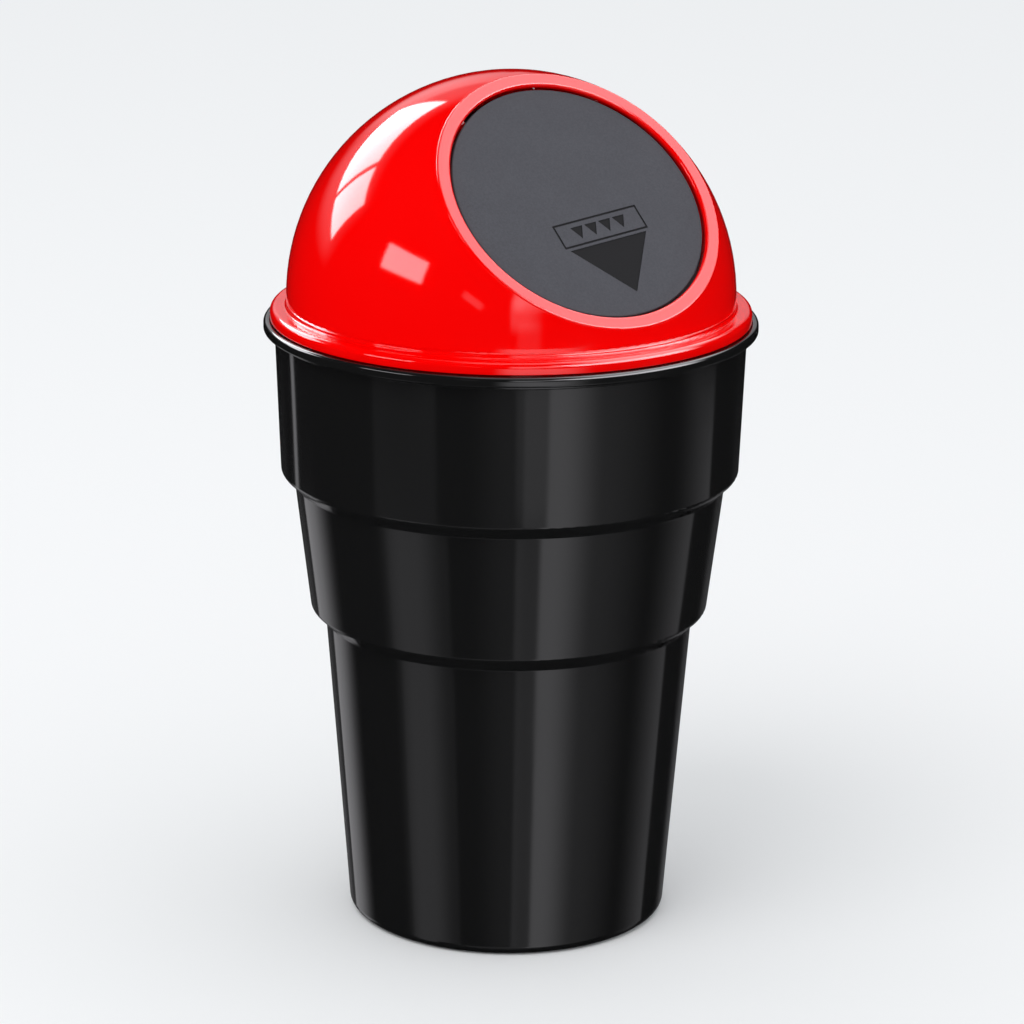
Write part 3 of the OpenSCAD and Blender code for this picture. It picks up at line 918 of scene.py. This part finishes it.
def add_world(studio):
    """Even pale light for the floor and the colours, and a dark room with softboxes for the gloss."""
    world = bpy.data.worlds.new("studio")
    bpy.context.scene.world = world
    world.use_nodes = True
    world.cycles.sampling_method = "NONE"
    tree = world.node_tree
    nodes, links = tree.nodes, tree.links
    even = nodes["Background"]
    even.inputs["Color"].default_value = opaque(studio.sky_colour)
    even.inputs["Strength"].default_value = studio.sky_strength
    room = nodes.new("ShaderNodeBackground")
    room.inputs["Color"].default_value = opaque(studio.room_colour)
    lights = nodes.new("ShaderNodeMath")
    lights.operation = "ADD"
    lights.inputs[1].default_value = studio.room_strength
    links.new(add_softboxes(tree, studio.azimuth), lights.inputs[0])
    links.new(lights.outputs[0], room.inputs["Strength"])
    path = nodes.new("ShaderNodeLightPath")
    mix = nodes.new("ShaderNodeMixShader")
    links.new(path.outputs["Is Glossy Ray"], mix.inputs["Fac"])
    links.new(even.outputs[0], mix.inputs[1])
    links.new(room.outputs[0], mix.inputs[2])
    links.new(mix.outputs[0], nodes["World Output"].inputs["Surface"])


def add_floor(studio):
    """Wide pale floor. Gloss doesn't see it, as in a room with a dark table."""
    half = studio.floor_half
    points = [(-half, -half, 0), (half, -half, 0), (half, half, 0), (-half, half, 0)]
    floor = add_piece("studio_floor", points, [(0, 1, 2, 3)], [False])
    shader = Shader("floor_paper")
    shader.put(base_color=opaque(studio.floor_colour), roughness=0.95, specular_ior_level=0.0)
    floor.data.materials.append(shader.material)
    floor.visible_glossy = False


def add_key_light(studio):
    """Soft round light that faces the bin and that neither camera nor gloss sees."""
    data = bpy.data.lights.new("key", "AREA")
    data.shape, data.size, data.energy = "DISK", studio.key_size, studio.key_power
    light = bpy.data.objects.new("key", data)
    bpy.context.scene.collection.objects.link(light)
    towards = direction_of(studio.azimuth + studio.key_turn, studio.key_elevation)
    light.location = towards * studio.key_distance + Vector((0, 0, studio.key_target))
    light.rotation_mode = "QUATERNION"
    light.rotation_quaternion = towards.to_track_quat("Z", "Y")
    light.visible_camera = False
    light.visible_glossy = False


def add_camera(studio):
    """Camera at the photograph's viewing angle, turned about its own axis by the roll."""
    data = bpy.data.cameras.new("camera")
    data.sensor_width = 36.0
    data.lens, data.shift_x = studio.lens, studio.shift
    data.clip_start, data.clip_end = 0.05, 30.0
    camera = bpy.data.objects.new("camera", data)
    bpy.context.scene.collection.objects.link(camera)
    back = direction_of(studio.azimuth, studio.elevation)
    camera.location = Vector((0, 0, studio.target_height)) + back * studio.distance
    camera.rotation_mode = "QUATERNION"
    camera.rotation_quaternion = (-back).to_track_quat("-Z", "Y") @ Quaternion((0, 0, 1), studio.roll)
    bpy.context.scene.camera = camera


class CARBIN_OT_bin_finish(Operator):
    """Gives the bin its gloss black"""

    bl_idname = "carbin.bin_finish"
    bl_label = "Finish the bin"

    def execute(self, context):
        finish = context.scene.car_bin.finish
        black = gloss_plastic("black_plastic_gloss", finish.bin_colour, finish.bin_roughness, finish.bin_peel)
        finish_node("bin", black)
        return {"FINISHED"}


class CARBIN_OT_lid_finish(Operator):
    """Gives the lid its gloss red"""

    bl_idname = "carbin.lid_finish"
    bl_label = "Finish the lid"

    def execute(self, context):
        finish = context.scene.car_bin.finish
        red = gloss_plastic("red_plastic_gloss", finish.lid_colour, finish.lid_roughness, finish.lid_peel)
        finish_node("lid", red)
        return {"FINISHED"}


def dress(piece, node):
    """Gives a skin the finish of the node that it lies on, which also carries it."""
    piece.data.materials.append(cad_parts[node].material_slots[0].material)
    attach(piece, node)


class CARBIN_OT_edge_skins(Operator):
    """Lays the polished skins on the flat ring, the flange and the rim bead"""

    bl_idname = "carbin.edge_skins"
    bl_label = "Make the skins of the edges"

    def execute(self, context):
        settings = context.scene.car_bin
        dress(ring_skin(settings.ring), "lid")
        dress(flange_skin(settings.flange), "lid")
        dress(rim_skin(settings.rim), "bin")
        return {"FINISHED"}


class CARBIN_OT_flap_face(Operator):
    """Finishes the flap and lays its grained face with the engraved sign on it"""

    bl_idname = "carbin.flap_face"
    bl_label = "Make the face of the flap"

    def execute(self, context):
        face = context.scene.car_bin.face
        grained = grained_plastic("grey_plastic_grained", face.colour, face.sign_colour)
        finish_node("flap", grained)
        piece = flap_face(face)
        piece.data.materials.append(grained)
        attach(piece, "flap")
        return {"FINISHED"}


class CARBIN_OT_hinge_pin_finish(Operator):
    """Gives the hinge pin its steel"""

    bl_idname = "carbin.hinge_pin_finish"
    bl_label = "Finish the hinge pin"

    def execute(self, context):
        finish = context.scene.car_bin.finish
        finish_node("hinge_pin", drawn_steel("pin_steel_drawn", finish.steel_colour, finish.pin_roughness))
        return {"FINISHED"}


class CARBIN_OT_return_spring(Operator):
    """Makes the spring's wire between the lid and the flap, in place of the frame's spring"""

    bl_idname = "carbin.return_spring"
    bl_label = "Make the return spring"

    def execute(self, context):
        spring, finish = context.scene.car_bin.spring, context.scene.car_bin.finish
        piece = spring_wire(spring)
        piece.data.materials.append(drawn_steel("spring_steel_drawn", finish.steel_colour, finish.spring_roughness))
        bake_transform(piece)
        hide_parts("return_spring")
        return {"FINISHED"}


class CARBIN_OT_studio(Operator):
    """Sets up the floor, the light and the camera"""

    bl_idname = "carbin.studio"
    bl_label = "Set up the studio"

    def execute(self, context):
        studio = context.scene.car_bin.studio
        add_world(studio)
        add_floor(studio)
        add_key_light(studio)
        add_camera(studio)
        context.scene.view_settings.view_transform = "Standard"
        return {"FINISHED"}


STEPS = (
    CARBIN_OT_bin_finish,
    CARBIN_OT_lid_finish,
    CARBIN_OT_edge_skins,
    CARBIN_OT_flap_face,
    CARBIN_OT_hinge_pin_finish,
    CARBIN_OT_return_spring,
    CARBIN_OT_studio,
)


class CARBIN_PT_looks(Panel):
    """Lists the steps and the settings of the car bin"""

    bl_idname = "CARBIN_PT_looks"
    bl_label = "Car bin"
    bl_space_type = "VIEW_3D"
    bl_region_type = "UI"
    bl_category = "Car bin"

    def draw(self, context):
        for step in STEPS:
            self.layout.operator(step.bl_idname)
        for part in CarBinSettings.__annotations__:
            group = getattr(context.scene.car_bin, part)
            box = self.layout.box()
            for key in group.__annotations__:
                box.prop(group, key)


GROUPS = (
    RingSettings,
    RimSettings,
    FlangeSettings,
    FaceSettings,
    SpringSettings,
    FinishSettings,
    StudioSettings,
    CarBinSettings,
)


def register():
    """Registers the classes and hangs the settings on the scene."""
    for cls in (*GROUPS, *STEPS, CARBIN_PT_looks):
        bpy.utils.register_class(cls)
    bpy.types.Scene.car_bin = PointerProperty(type=CarBinSettings)


def unregister():
    """Takes the settings off the scene and the classes out again."""
    del bpy.types.Scene.car_bin
    for cls in reversed((*GROUPS, *STEPS, CARBIN_PT_looks)):
        bpy.utils.unregister_class(cls)


def main():
    """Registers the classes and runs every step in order."""
    register()
    bpy.ops.carbin.bin_finish()
    bpy.ops.carbin.lid_finish()
    bpy.ops.carbin.edge_skins()
    bpy.ops.carbin.flap_face()
    bpy.ops.carbin.hinge_pin_finish()
    bpy.ops.carbin.return_spring()
    bpy.ops.carbin.studio()


if __name__ == "__main__":
    main()
